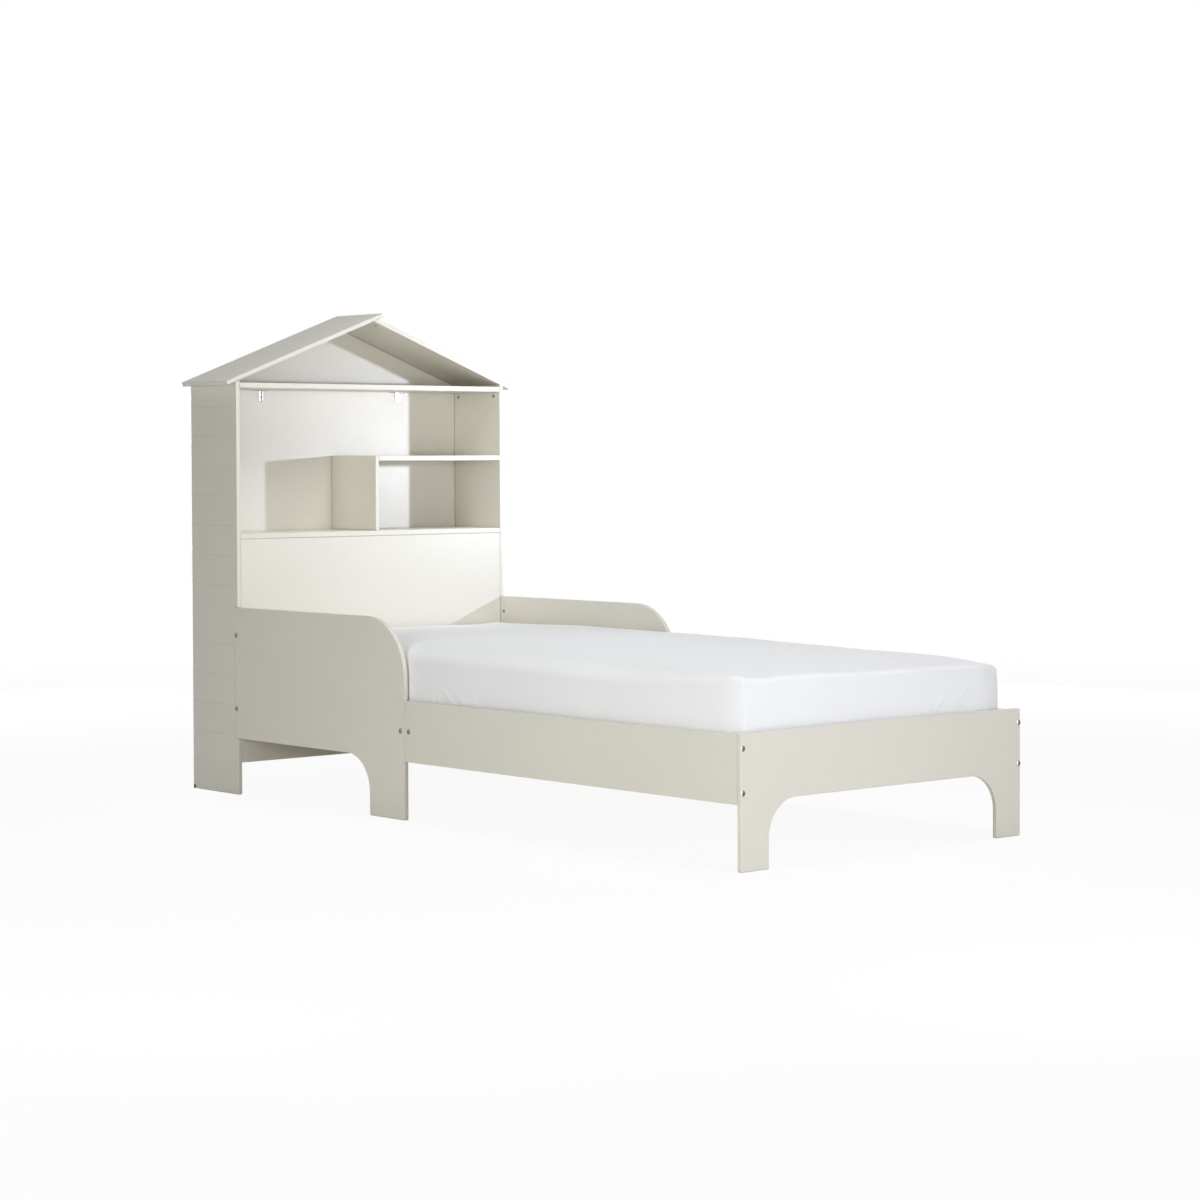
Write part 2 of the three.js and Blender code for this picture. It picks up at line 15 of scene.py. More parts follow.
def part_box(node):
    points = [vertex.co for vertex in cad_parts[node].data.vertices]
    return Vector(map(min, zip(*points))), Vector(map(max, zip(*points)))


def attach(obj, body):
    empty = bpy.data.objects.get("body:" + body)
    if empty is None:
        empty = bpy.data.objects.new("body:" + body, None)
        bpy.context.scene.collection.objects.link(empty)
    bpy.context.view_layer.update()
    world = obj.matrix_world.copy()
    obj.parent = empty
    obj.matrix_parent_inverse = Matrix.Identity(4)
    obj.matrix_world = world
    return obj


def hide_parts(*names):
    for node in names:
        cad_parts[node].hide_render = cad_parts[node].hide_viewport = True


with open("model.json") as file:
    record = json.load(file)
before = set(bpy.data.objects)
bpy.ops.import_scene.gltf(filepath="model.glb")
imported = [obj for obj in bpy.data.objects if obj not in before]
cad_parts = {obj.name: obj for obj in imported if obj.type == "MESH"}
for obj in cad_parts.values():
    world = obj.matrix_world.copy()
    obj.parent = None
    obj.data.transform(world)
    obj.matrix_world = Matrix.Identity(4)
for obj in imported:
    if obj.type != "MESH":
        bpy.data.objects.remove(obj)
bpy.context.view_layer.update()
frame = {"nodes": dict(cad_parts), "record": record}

NODES = frame["nodes"]
MATTRESS_LOW, MATTRESS_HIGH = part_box("mattress")
BRACKET_LOW, BRACKET_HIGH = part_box("shelf_bracket_right")
BRACKET_PLACE = (BRACKET_LOW[0] + BRACKET_HIGH[0]) / 2


# Camera: solved from the photograph's edges. Focal length and middle row are in pixels of its frame

FRAME_PIXELS = 1200
FOCAL_PIXELS = 2849.42
MIDDLE_ROW = 536.589
SENSOR_MM = 36
YAW_PITCH_ROLL = (-40.855, -1.587, -0.205)
CAMERA_PLACE = (-4.88784, -5.74637, 0.93497)
FAR_CLIP = 60


def make_camera():
    yaw, pitch, roll = (math.radians(a) for a in YAW_PITCH_ROLL)
    forward = Vector(
        (-math.sin(yaw) * math.cos(pitch), math.cos(yaw) * math.cos(pitch), math.sin(pitch))
    )
    level = Vector((math.cos(yaw), math.sin(yaw), 0))
    upright = level.cross(forward)
    right = level * math.cos(roll) + upright * math.sin(roll)
    up = -level * math.sin(roll) + upright * math.cos(roll)
    camera = bpy.data.objects.new("camera", bpy.data.cameras.new("camera"))
    turn = Matrix((right, up, -forward)).transposed().to_4x4()
    camera.matrix_world = Matrix.Translation(CAMERA_PLACE) @ turn
    camera.data.sensor_width = SENSOR_MM
    camera.data.lens = FOCAL_PIXELS * SENSOR_MM / FRAME_PIXELS
    camera.data.shift_y = (MIDDLE_ROW - FRAME_PIXELS / 2) / FRAME_PIXELS
    camera.data.clip_end = FAR_CLIP
    bpy.context.scene.collection.objects.link(camera)
    bpy.context.scene.camera = camera


make_camera()


# Materials. The noise scales are in features per metre

EDGE_RADIUS = 0.0016
GROOVE_SHADE_REACH = 0.004
STEEL_EDGE = 0.0005
SOCKET_SHADE_REACH = 0.0035
BOLT_SHADE_REACH = 0.003
# the side that a bolt head's painted highlight faces, and how softly the painted highlight fades in
PAINTED_HIGHLIGHT_SIDE = (-0.756, 0.654, 0.1)
PAINTED_HIGHLIGHT_FADE = 0.12
# across a bracket, from its middle: the two fading edges of its painted dark reflection, and where the
# painted shade of its dark rim starts and is full
DARK_REFLECTION_START = (-0.0032, -0.0018)
DARK_REFLECTION_END = (0.0036, 0.0020)
EDGE_SHADE_SPAN = (0.0062, 0.0074)
DARK_REFLECTION_WANDER = 0.0012
# where a bracket's painted bright reflection fades into its plain zinc
BRIGHT_REFLECTION_TO_PLAIN = (-0.0030, 0.0050)


class Shader:
    """A Principled material and short names for the nodes that feed it."""

    def __init__(self, name, color, roughness, metallic=0.0, specular=0.5):
        self.material = bpy.data.materials.new(name)
        self.material.use_nodes = True
        self.tree = self.material.node_tree
        self.bsdf = self.tree.nodes["Principled BSDF"]
        self.set("Base Color", (*color, 1))
        self.set("Roughness", roughness)
        self.set("Metallic", metallic)
        self.set("Specular IOR Level", specular)
        self.place = self.node("ShaderNodeTexCoord").outputs["Object"]

    def set(self, socket, value):
        self.bsdf.inputs[socket].default_value = value

    def feed(self, socket, output):
        self.tree.links.new(output, self.bsdf.inputs[socket])

    def node(self, kind, inputs=None, **settings):
        made = self.tree.nodes.new(kind)
        for key, value in settings.items():
            setattr(made, key, value)
        for key, value in (inputs or {}).items():
            if isinstance(value, bpy.types.NodeSocket):
                self.tree.links.new(value, made.inputs[key])
            else:
                made.inputs[key].default_value = value
        return made

    def stretched(self, scale):
        inputs = {"Vector": self.place, "Scale": scale}
        return self.node("ShaderNodeMapping", inputs).outputs["Vector"]

    def noise(self, scale, detail=2.0, rough=0.5, vector=None, distortion=0.0):
        inputs = {
            "Vector": vector or self.place,
            "Scale": scale,
            "Detail": detail,
            "Roughness": rough,
            "Distortion": distortion,
        }
        return self.node("ShaderNodeTexNoise", inputs).outputs["Fac"]

    def remap(self, value, low, high, to_low=0.0, to_high=1.0):
        inputs = {
            "Value": value,
            "From Min": low,
            "From Max": high,
            "To Min": to_low,
            "To Max": to_high,
        }
        return self.node("ShaderNodeMapRange", inputs).outputs["Result"]

    def math(self, operation, a, b=0.0):
        return self.node("ShaderNodeMath", {0: a, 1: b}, operation=operation).outputs[0]

    def mix(self, factor, a, b):
        made = self.node("ShaderNodeMix", data_type="RGBA")
        for name, value in (("Factor", factor), ("A", a), ("B", b)):
            socket = next(
                s for s in made.inputs
                if s.name == name and s.type == ("VALUE" if name == "Factor" else "RGBA")
            )
            if isinstance(value, bpy.types.NodeSocket):
                self.tree.links.new(value, socket)
            else:
                socket.default_value = value if name == "Factor" else (*value, 1)
        return next(s for s in made.outputs if s.type == "RGBA")

    def bump(self, height, strength, distance, normal=None):
        inputs = {"Height": height, "Strength": strength, "Distance": distance}
        if normal is not None:
            inputs["Normal"] = normal
        return self.node("ShaderNodeBump", inputs).outputs["Normal"]


def scaled(color, factor):
    return tuple(c * factor for c in color)


def painted_board(name, color):
    """Satin paint from a roller: faint stipple, slow drifts in tone, softer edges, and painted shade in
    grooves and joints.
    """
    s = Shader(name, color, 0.46)
    drift = s.noise(1.7, detail=3, rough=0.6)
    mottle = s.noise(48, detail=4, rough=0.6)
    tone = s.mix(s.remap(drift, 0.3, 0.7), scaled(color, 0.975), scaled(color, 1.02))
    tone = s.mix(s.remap(mottle, 0.35, 0.65, 0, 0.35), tone, scaled(color, 0.965))
    rounded = s.node("ShaderNodeBevel", {"Radius": EDGE_RADIUS}, samples=4).outputs["Normal"]
    true = s.node("ShaderNodeNewGeometry").outputs["True Normal"]
    facing = s.node("ShaderNodeVectorMath", {0: rounded, 1: true}, operation="DOT_PRODUCT")
    edge = s.remap(facing.outputs["Value"], 0.995, 0.86)
    chips = s.remap(s.noise(210, detail=5, rough=0.7), 0.42, 0.7)
    tone = s.mix(s.math("MULTIPLY", edge, chips), tone, scaled(color, 0.88))
    # painted shade: ambient occlusion darkens grooves, joints between boards and inner corners
    ao_painted_shade = s.node("ShaderNodeAmbientOcclusion", {"Distance": GROOVE_SHADE_REACH}, samples=4).outputs["AO"]
    s.feed("Base Color", s.mix(s.remap(ao_painted_shade, 0.55, 0.96), scaled(color, 0.8), tone))
    s.feed("Roughness", s.remap(s.noise(90, detail=3), 0.3, 0.7, 0.42, 0.50))
    stipple = s.noise(620, detail=2, rough=0.5)
    s.feed("Normal", s.bump(stipple, strength=0.15, distance=0.0002, normal=rounded))
    return s.material


def pine(name, along):
    """Planed, untreated pine whose grain runs along X or Y."""
    s = Shader(name, (0.74, 0.57, 0.36), 0.62)
    slow = (1.1, 16, 16) if along == "X" else (16, 1.1, 16)
    fine = (14, 420, 420) if along == "X" else (420, 14, 420)
    rings = s.noise(3.0, detail=5, rough=0.62, vector=s.stretched(slow), distortion=1.2)
    streak = s.math("SINE", s.math("MULTIPLY", rings, 58.0))
    fibre = s.noise(1.0, detail=4, rough=0.7, vector=s.stretched(fine))
    tone = s.mix(s.remap(streak, -1, 1), (0.80, 0.64, 0.42), (0.66, 0.47, 0.27))
    tone = s.mix(s.remap(fibre, 0.35, 0.7, 0, 0.55), tone, (0.86, 0.71, 0.50))
    knots = s.node("ShaderNodeTexVoronoi", {"Vector": s.place, "Scale": 5.5, "Randomness": 1.0})
    knot = s.remap(knots.outputs["Distance"], 0.055, 0.02)
    s.feed("Base Color", s.mix(knot, tone, (0.27, 0.13, 0.05)))
    s.feed("Roughness", s.remap(fibre, 0.3, 0.7, 0.5, 0.72))
    s.feed("Normal", s.bump(fibre, strength=0.25, distance=0.0003))
    return s.material


def zinc(name, color, roughness, hollow=0.35):
    """Plated steel: cloudy passivation, fine brushing and painted shade in sockets, slots and inner corners.
    """
    s = Shader(name, color, roughness, metallic=1.0)
    cloud = s.noise(260, detail=4, rough=0.65)
    brushed = s.noise(1.0, detail=3, rough=0.6, vector=s.stretched((900, 900, 90)))
    tone = s.mix(s.remap(cloud, 0.3, 0.7), scaled(color, 0.8), scaled(color, 1.1))
    tone = s.mix(s.remap(brushed, 0.4, 0.75, 0, 0.5), tone, scaled(color, 0.72))
    # painted shade: ambient occlusion darkens sockets, slots and inner corners
    ao_painted_shade = s.node("ShaderNodeAmbientOcclusion", {"Distance": SOCKET_SHADE_REACH}, samples=6).outputs["AO"]
    s.feed("Base Color", s.mix(s.remap(ao_painted_shade, 0.25, 0.85), scaled(color, hollow), tone))
    s.feed("Roughness", s.remap(cloud, 0.3, 0.7, roughness * 0.75, roughness * 1.35))
    rounded = s.node("ShaderNodeBevel", {"Radius": STEEL_EDGE}, samples=4).outputs["Normal"]
    s.feed("Normal", s.bump(s.noise(2400), strength=0.12, distance=0.0001, normal=rounded))
    return s.material


def bolt_steel(name, turned):
    """Plated steel painted dark, a painted reflection of a dark room, with a painted highlight on one side of
    its rim: turned says how far a face may turn before the painted highlight starts.
    """
    s = Shader(name, (0.17, 0.17, 0.165), 0.36, metallic=1.0)
    # painted highlight: faces of the head that turn towards one side are painted near white
    normal = s.node("ShaderNodeNewGeometry").outputs["Normal"]
    side = s.node("ShaderNodeVectorMath", {0: normal, 1: PAINTED_HIGHLIGHT_SIDE}, operation="DOT_PRODUCT")
    painted_highlight = s.remap(side.outputs["Value"], turned - PAINTED_HIGHLIGHT_FADE, turned + PAINTED_HIGHLIGHT_FADE)
    cloud = s.noise(420, detail=4, rough=0.65)
    tone = s.mix(s.remap(cloud, 0.3, 0.7), (0.13, 0.13, 0.125), (0.22, 0.22, 0.21))
    tone = s.mix(painted_highlight, tone, (0.88, 0.88, 0.87))
    # painted shade: ambient occlusion darkens the socket and the crevices round the head almost to black
    ao_painted_shade = s.node("ShaderNodeAmbientOcclusion", {"Distance": BOLT_SHADE_REACH}, samples=6).outputs["AO"]
    s.feed("Base Color", s.mix(s.remap(ao_painted_shade, 0.25, 0.8), (0.035, 0.035, 0.035), tone))
    s.feed("Roughness", s.remap(cloud, 0.3, 0.7, 0.28, 0.46))
    s.feed("Normal", s.bump(s.noise(2400), strength=0.12, distance=0.0001))
    return s.material


def bent_strip(name):
    """A shelf bracket's zinc with painted light across it: a painted bright reflection on its left third, a
    painted dark reflection down its middle, and painted shade along its right edge and on its underside.
    """
    s = Shader(name, (0.6, 0.6, 0.59), 0.3, metallic=1.0)
    place = s.node("ShaderNodeSeparateXYZ", {"Vector": s.place}).outputs["X"]
    side = s.math("MULTIPLY", s.math("SIGN", place), BRACKET_PLACE)
    wander = s.remap(s.noise(160, detail=3), 0, 1, -DARK_REFLECTION_WANDER, DARK_REFLECTION_WANDER)
    across = s.math("ADD", s.math("SUBTRACT", place, side), wander)
    # painted dark reflection down the middle of the bracket, and painted shade along its right edge
    streak = s.math("MULTIPLY", s.remap(across, *DARK_REFLECTION_START), s.remap(across, *DARK_REFLECTION_END))
    rim = s.remap(across, *EDGE_SHADE_SPAN)
    cloud = s.noise(260, detail=4, rough=0.65)
    tone = s.mix(s.remap(cloud, 0.3, 0.7), (0.50, 0.50, 0.49), (0.68, 0.68, 0.67))
    # painted bright reflection on the bracket's left third
    tone = s.mix(s.remap(across, *BRIGHT_REFLECTION_TO_PLAIN), (0.86, 0.86, 0.86), tone)
    tone = s.mix(s.math("MAXIMUM", streak, rim), tone, (0.10, 0.10, 0.10))
    # painted shade on the bracket's faces that turn down
    normal = s.node("ShaderNodeNewGeometry").outputs["True Normal"]
    up = s.node("ShaderNodeSeparateXYZ", {"Vector": normal})
    under = s.remap(up.outputs["Z"], -0.3, -0.8)
    s.feed("Base Color", s.mix(under, tone, (0.13, 0.13, 0.125)))
    s.feed("Roughness", s.remap(s.noise(300, detail=3), 0.3, 0.7, 0.22, 0.4))
    s.feed("Normal", s.bump(s.noise(2400), strength=0.12, distance=0.0001))
    return s.material


def rubber(name):
    """Dull black rubber with a fine grain."""
    s = Shader(name, (0.022, 0.021, 0.02), 0.78)
    grain = s.noise(900, detail=3)
    s.feed("Base Color", s.mix(grain, (0.015, 0.014, 0.013), (0.034, 0.033, 0.031)))
    s.feed("Normal", s.bump(grain, strength=0.3, distance=0.0004))
    return s.material


def cotton(name, color, pitch):
    """Plain-woven cotton: crossing threads, slubs and a soft nap."""
    s = Shader(name, color, 0.92, specular=0.2)
    turns = 2 * math.pi / pitch
    place = s.node("ShaderNodeSeparateXYZ", {"Vector": s.place}).outputs
    warps = [s.math("SINE", s.math("MULTIPLY", place[axis], turns)) for axis in ("X", "Y", "Z")]
    weave = s.math("ADD", s.math("ADD", warps[0], warps[1]), warps[2])
    slub = s.noise(1.0, detail=3, rough=0.6, vector=s.stretched((900, 90, 900)))
    nap = s.noise(26, detail=4, rough=0.6)
    tone = s.mix(s.remap(slub, 0.3, 0.75), color, scaled(color, 0.97))
    tone = s.mix(s.remap(nap, 0.3, 0.7, 0, 0.5), tone, scaled(color, 0.975))
    s.feed("Base Color", tone)
    s.set("Sheen Weight", 0.25)
    s.set("Sheen Roughness", 0.5)
    height = s.math("ADD", s.remap(weave, -3, 3), slub)
    soft = s.bump(nap, strength=0.10, distance=0.004)
    s.feed("Normal", s.bump(height, strength=0.22, distance=0.00025, normal=soft))
    return s.material


PAINT = (0.742, 0.716, 0.634)
SHEET = (0.925, 0.928, 0.94)
TICKING = (0.80, 0.78, 0.73)
SHEET_PITCH = 0.0009
TICKING_PITCH = 0.0016
materials = {
    "cream_paint": painted_board("cream_paint", PAINT),
    "pine_x": pine("pine_across", "X"),
    "pine_y": pine("pine_along", "Y"),
    # bright_zinc's dark grey is a painted dark reflection of the room that real zinc would mirror
    "bright_zinc": zinc("bright_zinc", (0.27, 0.27, 0.26), 0.34, hollow=0.2),
    "bolt_side": bolt_steel("bolt_side", turned=0.86),
    "bolt_foot": bolt_steel("bolt_foot", turned=-0.25),
    "bracket_zinc": bent_strip("bracket_zinc"),
    "zinc_barrel": zinc("zinc_barrel", (0.36, 0.34, 0.30), 0.42),
    "rubber_pad": rubber("rubber_pad"),
    "fitted_sheet": cotton("fitted_sheet", SHEET, SHEET_PITCH),
    "ticking": cotton("mattress_ticking", TICKING, TICKING_PITCH),
}


def give(piece, material):
    piece.data.materials.clear()
    piece.data.materials.append(material)


slots = {entry["node"]: entry["material_slot"] for entry in frame["record"]["subparts"]}
for node_name, node in NODES.items():
    slot = slots[node_name]
    if slot == "pine":
        slot = "pine_x" if node_name.startswith("slat_") else "pine_y"
    if "bracket" in node_name:
        slot = "bracket_zinc"
    if "bolt" in node_name:
        slot = "bolt_foot" if node_name.startswith("foot_bolt") else "bolt_side"
    give(node, materials[slot])


# Bracket screws: pan heads with a cross recess, one in each leg

SCREW_RADIUS = 0.0037
SCREW_HEIGHT = 0.0016
SCREW_SUNK = 0.0004
SCREW_REACH = 0.0195
SCREW_TURNS = (0.5, 1.1)
BRACKET_THICK = 0.002
RIM_SHARE = 0.985
CROSS_HALF_WIDTH = 0.00048
CROSS_REACH = 0.62
CROSS_DEPTH = 0.0009
CROSS_SLOPE_END = 0.75


def screw_height(x, y):
    """The height of a pan head at a point of it, dented by its cross."""
    out = math.hypot(x, y) / SCREW_RADIUS
    dome = SCREW_HEIGHT * math.sqrt(max(0, 1 - (RIM_SHARE * out) ** 4))
    if min(abs(x), abs(y)) < CROSS_HALF_WIDTH and out < CROSS_REACH:
        return dome - CROSS_DEPTH * (1 - out / CROSS_SLOPE_END)
    return dome


def screw_head():
    """A pan head that rises along +Z: rings of points from its middle to its rim, and a flat underside."""
    rings, steps = 9, 32
    plan = [(0, 0)]
    for r in range(1, rings + 1):
        for i in range(steps):
            angle = 2 * math.pi * i / steps
            plan.append(tuple(SCREW_RADIUS * (r / rings) * f for f in (math.cos(angle), math.sin(angle))))
    points = [(x, y, screw_height(x, y)) for x, y in plan]
    rim = 1 + (rings - 1) * steps
    under = len(points)
    points += [(x, y, -SCREW_SUNK) for x, y in plan[rim:]]
    faces = []
    for i in range(steps):
        j = (i + 1) % steps
        faces.append((0, 1 + i, 1 + j))
        for r in range(rings - 1):
            a, b = 1 + r * steps, 1 + (r + 1) * steps
            faces.append((a + i, b + i, b + j, a + j))
        faces.append((rim + i, under + i, under + j, rim + j))
    faces.append(tuple(under + i for i in reversed(range(steps))))
    return points, faces


def add_screws():
    """One mesh with the four screw heads: under the shelf they point down, on the back panel to the front."""
    head, head_faces = screw_head()
    points, faces = [], []
    for side in ("left", "right"):
        low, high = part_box(f"shelf_bracket_{side}")
        x = (low[0] + high[0]) / 2
        under_shelf = Matrix.Translation((x, high[1] - SCREW_REACH, high[2] - BRACKET_THICK))
        on_back = Matrix.Translation((x, high[1] - BRACKET_THICK, high[2] - SCREW_REACH))
        for place in (
            under_shelf @ Matrix.Rotation(math.pi, 4, "X") @ Matrix.Rotation(SCREW_TURNS[0], 4, "Z"),
            on_back @ Matrix.Rotation(math.pi / 2, 4, "X") @ Matrix.Rotation(SCREW_TURNS[1], 4, "Z"),
        ):
            start = len(points)
            points += [tuple(place @ Vector(p)) for p in head]
            faces += [tuple(start + i for i in face) for face in head_faces]
    mesh = bpy.data.meshes.new("bracket_screws")
    mesh.from_pydata(points, [], faces)
    mesh.update()
    piece = bpy.data.objects.new("bracket_screws", mesh)
    bpy.context.scene.collection.objects.link(piece)
    give(piece, materials["bright_zinc"])
    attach(piece, "bed_frame")


add_screws()


# Mattress and fitted sheet, in the mattress's own frame: X across, +Y to the head, Z up from its underside

HALF_X, HALF_Y = (
    (MATTRESS_HIGH[0] - MATTRESS_LOW[0]) / 2,
    (MATTRESS_HIGH[1] - MATTRESS_LOW[1]) / 2,
)
LEFT_OF_MIDDLE = 0.009
MIDDLE = Vector((-LEFT_OF_MIDDLE, (MATTRESS_HIGH[1] + MATTRESS_LOW[1]) / 2, MATTRESS_LOW[2]))
THICK = 0.167
CROWN = 0.006
BULGE = 0.003
DRAW_IN = 0.002
BOTTOM_ROUND = 0.014
TUCK = 0.075

# the arch along it; places and spans are shares of its length from the head
ARCH = 0.025
ARCH_PLACE = 0.27
HEAD_DROP = 0.0068
HEAD_DROP_SPAN = (-0.02, 0.20)
FOOT_FULL = 0.0028
FOOT_FULL_PLACE = 0.88
FOOT_FULL_WIDTH = 0.09

# the top edge's rounding, and the broad shoulder between the ends; the right one is smaller
EDGE_AT_SIDE = 0.020
EDGE_AT_END = 0.013
CORNER_TIGHTER = 0.45
SHOULDER_DOWN = 0.042
SHOULDER_IN = 0.080
SHOULDER_GROWS = (0.01, 0.15)
SHOULDER_FADES = (0.78, 0.955)
RIGHT_SHOULDER = 0.6

# the foot's right corner droops and is drawn back: how much, and over what reach across and along
FAR_DROOP = 0.011
FAR_DROOP_REACH = (0.055, 0.12)
FAR_BACK = 0.013
FAR_BACK_ALONG = 0.12
FAR_BACK_ACROSS = (0.085, 0.02)

# a corner's size across and along, and the least of both near the middle with the width of their easing
CORNER_ACROSS = 0.035
CORNER_ALONG = 0.170
LEAST_ACROSS = (0.004, 0.003)
LEAST_ALONG = (0.012, 0.012)
# the crease's place among a corner's points; then by side, -1 left and 1 right: how far in from the side the
# crease lies, as a share of the corner's width, and how late the side bends to it
CREASE_SHARE = 0.8
CREASE_IN = {-1: 0.3, 1: 0.6}
BEND = {-1: 5.2, 1: 2.7}
SEAM_BACK = 0.043

# how the mesh's points are spread: over the top, on the arc of its edge and under the bottom's edge
CORNER_BEFORE_CREASE = 0.72
CLOSER_BEFORE, CLOSER_PAST = 1.5, 1.3
TOP_SPREAD = 0.62
INNERMOST = 0.004
LINE_SHORTER = 0.012
EDGE_STEPS = 14
BOTTOM_STEPS = 5
TUCK_STEP = 0.008
IN_CORNER, AT_END, AT_SIDE = 0, 1, 2


def smooth(value, low, high):
    t = np.clip((value - low) / (high - low), 0, 1)
    return t * t * (3 - 2 * t)


def along(y):
    """Share of the mattress's length from its head to y."""
    return 0.5 - y / (2 * HALF_Y)


def rise(y):
    """The slow arch along the mattress, as a factor of its thickness, with a drop at the very head."""
    arch = ARCH * (1 - ((along(y) - ARCH_PLACE) / (1 - ARCH_PLACE)) ** 2)
    dropped = HEAD_DROP * (1 - smooth(along(y), *HEAD_DROP_SPAN))
    filled = FOOT_FULL * np.exp(-((along(y) - FOOT_FULL_PLACE) / FOOT_FULL_WIDTH) ** 2)
    return 1 + (arch - dropped + filled) / THICK


def eased(value, least, width):
    """The value, or nearly the least one where it would fall below that, without a kink."""
    return least + width * np.logaddexp(0, (value - least) / width)


def spaced(length, fine, coarse, near):
    """Shares of a side's length: fine steps near both ends, coarse between them."""
    end = [i * fine for i in range(1, int(near / fine) + 1)]
    middle = length - 2 * end[-1]
    steps = max(2, round(middle / coarse))
    places = end + [end[-1] + middle * i / steps for i in range(1, steps)]
    places += [length - d for d in reversed(end)]
    return [d / length for d in places]


def corner_shares(steps):
    """Places along a corner from the long side (0) to the end face (1), closer together at its crease."""
    before = round(steps * CORNER_BEFORE_CREASE)
    after = steps - before
    shares = [CREASE_SHARE * (1 - (1 - i / before) ** CLOSER_BEFORE) for i in range(before)]
    past = [(i / after) ** CLOSER_PAST for i in range(after + 1)]
    return shares + [CREASE_SHARE + (1 - CREASE_SHARE) * share for share in past]


class Outline:
    """Points round the mattress's plan: at each corner the long side bends in to a crease at the flat end."""

    def __init__(self, corner_steps, fine, coarse, near, coarse_side):
        # a row holds sx, sy, inward, back, out_x, out_y, kind and share
        rows = []
        ends = spaced(2 * (HALF_X - CORNER_ACROSS), fine, coarse, near)
        sides = spaced(2 * (HALF_Y - CORNER_ALONG), fine, coarse_side, near)
        shares = corner_shares(corner_steps)
        for k, (sx, sy) in enumerate(((1, 1), (-1, 1), (-1, -1), (1, -1))):
            at_end = k % 2 == 0
            for share in shares if at_end else reversed(shares):
                run = min(share / CREASE_SHARE, 1)
                past = max(0, share - CREASE_SHARE) / (1 - CREASE_SHARE)
                crease, bend = CREASE_IN[sx], BEND[sx]
                inward = crease * run ** bend + (1 - crease) * past
                out_y = 1 if past else crease * bend * run ** (bend - 1)
                rows.append((sx, sy, inward, 1 - run, 0 if past else 1, out_y, IN_CORNER, 0))
            for share in ends if at_end else sides:
                rows.append((sx, sy, 0, 0, 0, 0, AT_END if at_end else AT_SIDE, share))
        table = np.array(rows).T
        self.sx, self.sy, self.inward, self.back = table[:4]
        self.out_x, self.out_y, self.kind, self.share = table[4:]
        self.count = len(rows)

    def place(self, inset):
        """x, y and the outward direction of every point, at an inset given for each point."""
        half_x, half_y = HALF_X - inset, HALF_Y - inset
        across = eased(CORNER_ACROSS - inset, *LEAST_ACROSS)
        length = eased(CORNER_ALONG - inset, *LEAST_ALONG)
        x = self.sx * (half_x - across * self.inward)
        y = self.sy * (half_y - length * self.back)
        nx, ny = self.sx * self.out_x * length, self.sy * self.out_y * across
        size = np.hypot(nx, ny) + 1e-12
        nx, ny = nx / size, ny / size
        drawn = DRAW_IN * np.sin(np.pi * np.clip(self.share, 0, 1)) ** 0.5
        run = 1 - 2 * self.share
        at_end, at_side = self.kind == AT_END, self.kind == AT_SIDE
        x = np.where(at_end, self.sx * run * (half_x - across), x)
        y = np.where(at_end, self.sy * (half_y - drawn), y)
        x = np.where(at_side, self.sx * (half_x - drawn), x)
        y = np.where(at_side, self.sy * run * (half_y - length), y)
        nx = np.where(at_end, 0, np.where(at_side, self.sx, nx))
        ny = np.where(at_end, self.sy, np.where(at_side, 0, ny))
        return x, y, nx, ny


def top_round(nx, ny, y):
    """How far the top edge rounds down and inward: tight at ends and corners, a broad shoulder between."""
    edge = (EDGE_AT_SIDE * nx ** 2 + EDGE_AT_END * ny ** 2) * (1 - CORNER_TIGHTER * np.abs(2 * nx * ny))
    middle = smooth(along(y), *SHOULDER_GROWS) * (1 - smooth(along(y), *SHOULDER_FADES))
    shoulder = middle * smooth(np.abs(nx), 0.5, 1) * np.where(nx > 0, RIGHT_SHOULDER, 1)
    return edge + shoulder * (SHOULDER_DOWN - edge), edge + shoulder * (SHOULDER_IN - edge)


def cover(outline, tuck, top_steps, down_steps, gap):
    """Rings of points from the middle of the top, over the edge and down the side, to the tuck underneath."""
    x, y, nx, ny = outline.place(np.zeros(outline.count))
    down, inward = top_round(nx, ny, y)
    outer = BULGE + inward
    deepest = HALF_X - INNERMOST
    rings = []

    def add(inset, z):
        """One ring; its inset and its height are numbers or have a value for each point."""
        px, py, pnx, pny = outline.place(np.broadcast_to(inset + gap, outline.count))
        rings.append(np.stack([px, py, np.broadcast_to(z, outline.count), pnx, pny], axis=1))

    for i in range(top_steps):
        share = (i / top_steps) ** TOP_SPREAD
        add(deepest + (outer - deepest) * share, THICK)
    for i in range(EDGE_STEPS + 1):
        angle = i / EDGE_STEPS * math.pi / 2
        add(outer - inward * math.sin(angle), THICK - down * (1 - math.cos(angle)))
    for i in range(1, down_steps):
        share = i / down_steps
        z = (THICK - down) * (1 - share) + BOTTOM_ROUND * share
        add(BULGE * (1 - math.sin(math.pi * share)), z)
    for i in range(BOTTOM_STEPS + 1):
        angle = i / BOTTOM_STEPS * math.pi / 2
        add(BULGE + BOTTOM_ROUND * (1 - math.cos(angle)), BOTTOM_ROUND * (1 - math.sin(angle)))
    under = max(1, round(tuck / TUCK_STEP))
    for i in range(1, under + 1):
        add(BULGE + BOTTOM_ROUND + tuck * i / under, 0.0)
    grid = np.array(rings)
    # the innermost ring closes on a line along the middle, where new_piece welds it
    grid[0, :, 0] = 0
    line = HALF_Y - deepest - LINE_SHORTER
    grid[0, :, 1] = np.clip(grid[0, :, 1], -line, line)
    px, py, z = grid[..., 0], grid[..., 1], grid[..., 2]
    crown = CROWN * np.maximum(0, 1 - (px / HALF_X) ** 2) * np.maximum(0, 1 - (py / HALF_Y) ** 4)
    share = z / THICK
    grid[..., 2] = np.maximum(z * rise(py) + crown * share ** 4, 0)
    settle(grid)
    return grid


